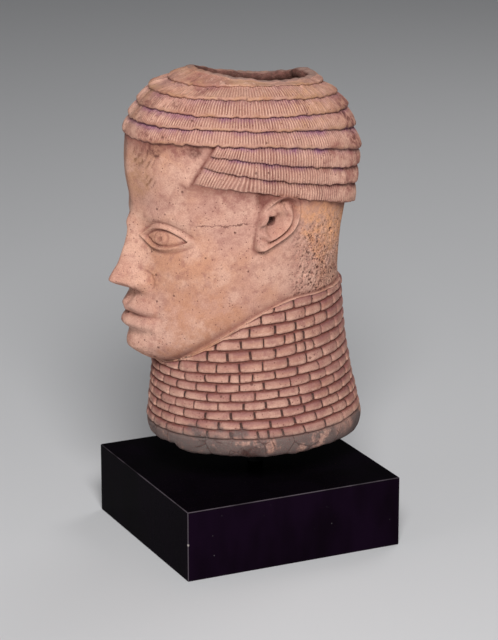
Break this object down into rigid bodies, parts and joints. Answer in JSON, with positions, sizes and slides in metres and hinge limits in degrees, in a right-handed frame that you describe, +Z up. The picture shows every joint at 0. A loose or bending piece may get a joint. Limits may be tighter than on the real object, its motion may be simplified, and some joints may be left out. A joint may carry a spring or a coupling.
{
  "type": "terracotta head on a stand",
  "caption": "Hollow fired-clay commemorative head with tiered combed hair and a tall beaded collar, open at crown and neck, held above a black lacquered block by a steel post.",
  "frame": {"origin": "centre of the block's underside", "axes": "+Z up, the face looks along -Y, the head's left ear is at +X"},
  "size_m": [0.133, 0.1599, 0.2909],
  "materials": {
    "terracotta": "matte, pink-brown fired clay with dark specks and pits",
    "lacquer": "gloss black lacquer",
    "black_steel": "satin"
  },
  "bodies": {
    "root": {"terracotta_head": "terracotta", "display_block": "lacquer", "mounting_post": "black_steel"}
  },
  "joints": []
}
